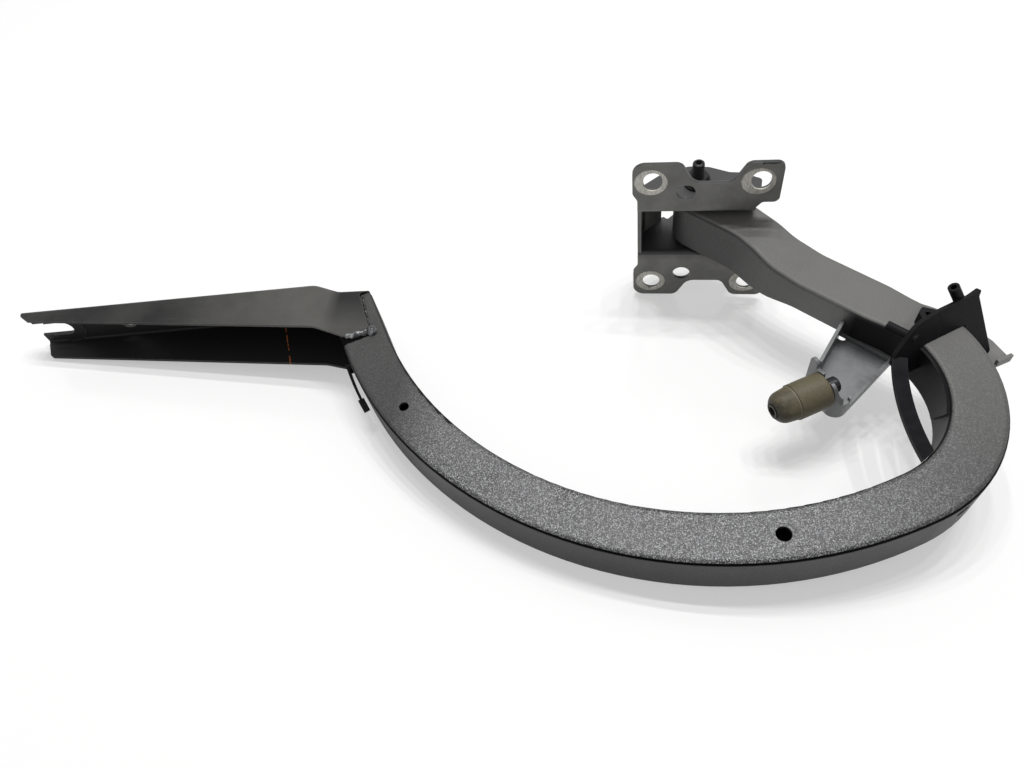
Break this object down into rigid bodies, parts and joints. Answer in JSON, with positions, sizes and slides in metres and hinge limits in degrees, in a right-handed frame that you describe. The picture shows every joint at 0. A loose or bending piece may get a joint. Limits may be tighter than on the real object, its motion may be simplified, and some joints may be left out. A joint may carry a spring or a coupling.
{
  "type": "trunk lid hinge",
  "caption": "Gooseneck trunk lid hinge: flanged body bracket, curved box-section arm on a pivot bolt, slotted lid channel, rubber bump stop and cable guide.",
  "frame": {"origin": "midway between the two round locating holes, on the face of the bracket flanges that lies against the body", "axes": "+X along the flanges, +Y into the body the flanges bolt to, +Z along the pivot"},
  "size_m": [0.6446, 0.2804, 0.1218],
  "materials": {
    "painted_steel": "satin dark grey coating",
    "bracket_steel": "satin bluish grey coating",
    "fastener_steel": "dark zinc",
    "bush_plastic": "plain",
    "weld_steel": "coated weld",
    "stop_rubber": "sooty olive",
    "guide_plastic": "black, slight sheen",
    "tab_steel": "light grey"
  },
  "bodies": {
    "bracket": {"body_bracket": "painted_steel", "pivot_bolt": "fastener_steel", "pivot_nut": "fastener_steel", "upper_washer": "fastener_steel", "lower_washer": "fastener_steel", "spacer_sleeve": "fastener_steel"},
    "arm": {"pivot_tube": "painted_steel", "upper_bush": "bush_plastic", "lower_bush": "bush_plastic", "neck_upper_shell": "painted_steel", "neck_lower_shell": "painted_steel", "lid_channel": "painted_steel", "lid_weld": "weld_steel", "bump_bracket": "bracket_steel", "bump_stop": "stop_rubber", "bump_stud": "fastener_steel", "guide_inner_half": "guide_plastic", "guide_outer_half": "guide_plastic", "spring_tab": "tab_steel", "tie_clip": "guide_plastic"}
  },
  "joints": [
    {"name": "lid_pivot", "type": "hinge", "parent": "bracket", "child": "arm", "pos_m": [0.008, 0.025, 0], "axis": [0, 0, -1], "range_deg": [0, 80]}
  ]
}
